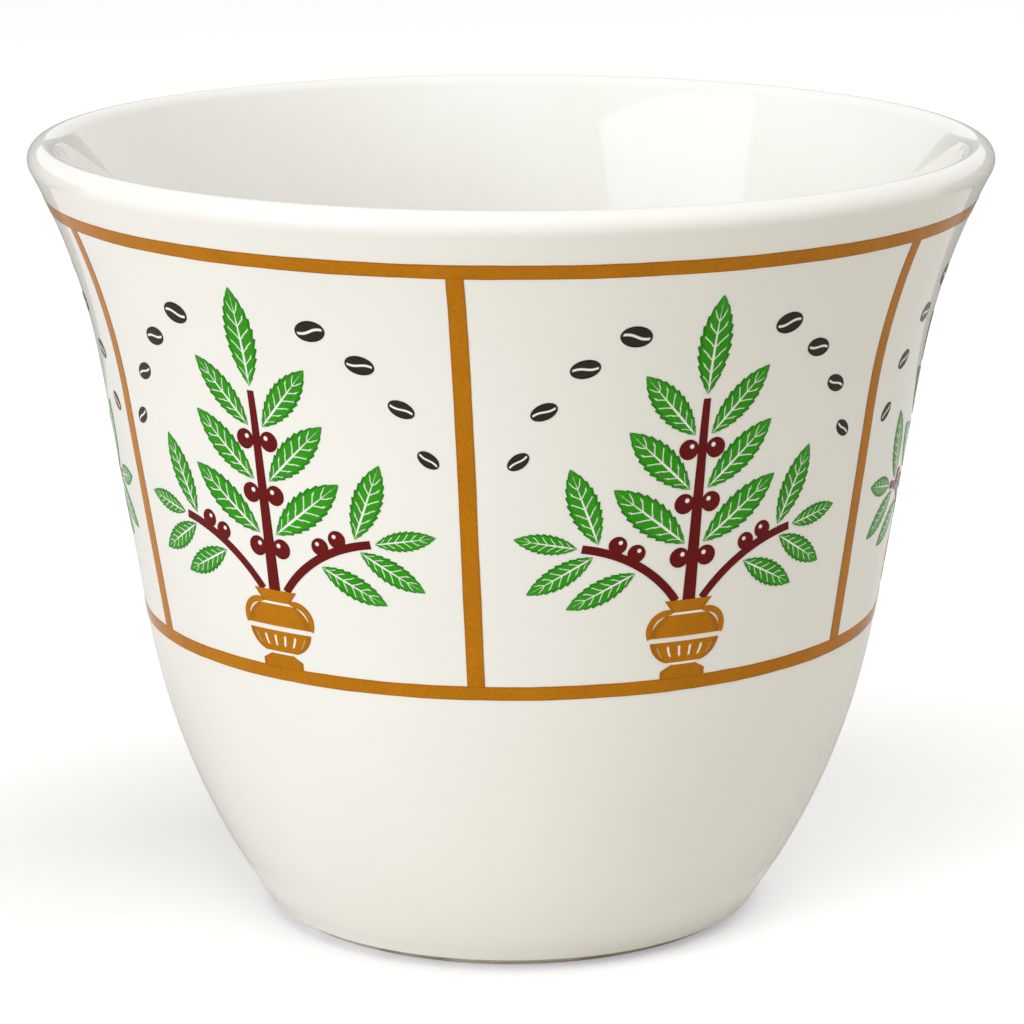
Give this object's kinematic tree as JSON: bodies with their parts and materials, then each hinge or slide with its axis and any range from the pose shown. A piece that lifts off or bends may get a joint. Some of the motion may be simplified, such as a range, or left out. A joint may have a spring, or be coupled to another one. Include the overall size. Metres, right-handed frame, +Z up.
{
  "type": "arabic coffee cup",
  "caption": "Small handleless porcelain coffee cup with a flared rim and a foot ring, glazed in white, with ochre enamel lines and panels that each hold a printed sprig in a vase.",
  "frame": {"origin": "on the cup's axis, in the plane that the foot ring stands on", "axes": "+Z up along the cup's axis; the side seen in the picture faces -Y, with +X to its right"},
  "size_m": [0.066, 0.066, 0.0542],
  "materials": {
    "porcelain": "bare fired biscuit",
    "glaze": "gloss white",
    "ochre_enamel": "gloss fired enamel",
    "green_enamel": "gloss fired enamel",
    "maroon_enamel": "gloss fired enamel",
    "black_enamel": "gloss fired enamel"
  },
  "bodies": {
    "root": {"porcelain_body": "porcelain", "glaze_coat": "glaze", "base_glaze": "glaze", "upper_line": "ochre_enamel", "lower_line": "ochre_enamel", "divider_1": "ochre_enamel", "divider_2": "ochre_enamel", "divider_3": "ochre_enamel", "divider_4": "ochre_enamel", "divider_5": "ochre_enamel", "divider_6": "ochre_enamel", "panel_1_leaves": "green_enamel", "panel_1_stems": "maroon_enamel", "panel_1_beans": "black_enamel", "panel_1_vase": "ochre_enamel", "panel_2_leaves": "green_enamel", "panel_2_stems": "maroon_enamel", "panel_2_beans": "black_enamel", "panel_2_vase": "ochre_enamel", "panel_3_leaves": "green_enamel", "panel_3_stems": "maroon_enamel", "panel_3_beans": "black_enamel", "panel_3_vase": "ochre_enamel", "panel_4_leaves": "green_enamel", "panel_4_stems": "maroon_enamel", "panel_4_beans": "black_enamel", "panel_4_vase": "ochre_enamel", "panel_5_leaves": "green_enamel", "panel_5_stems": "maroon_enamel", "panel_5_beans": "black_enamel", "panel_5_vase": "ochre_enamel", "panel_6_leaves": "green_enamel", "panel_6_stems": "maroon_enamel", "panel_6_beans": "black_enamel", "panel_6_vase": "ochre_enamel"}
  },
  "joints": []
}
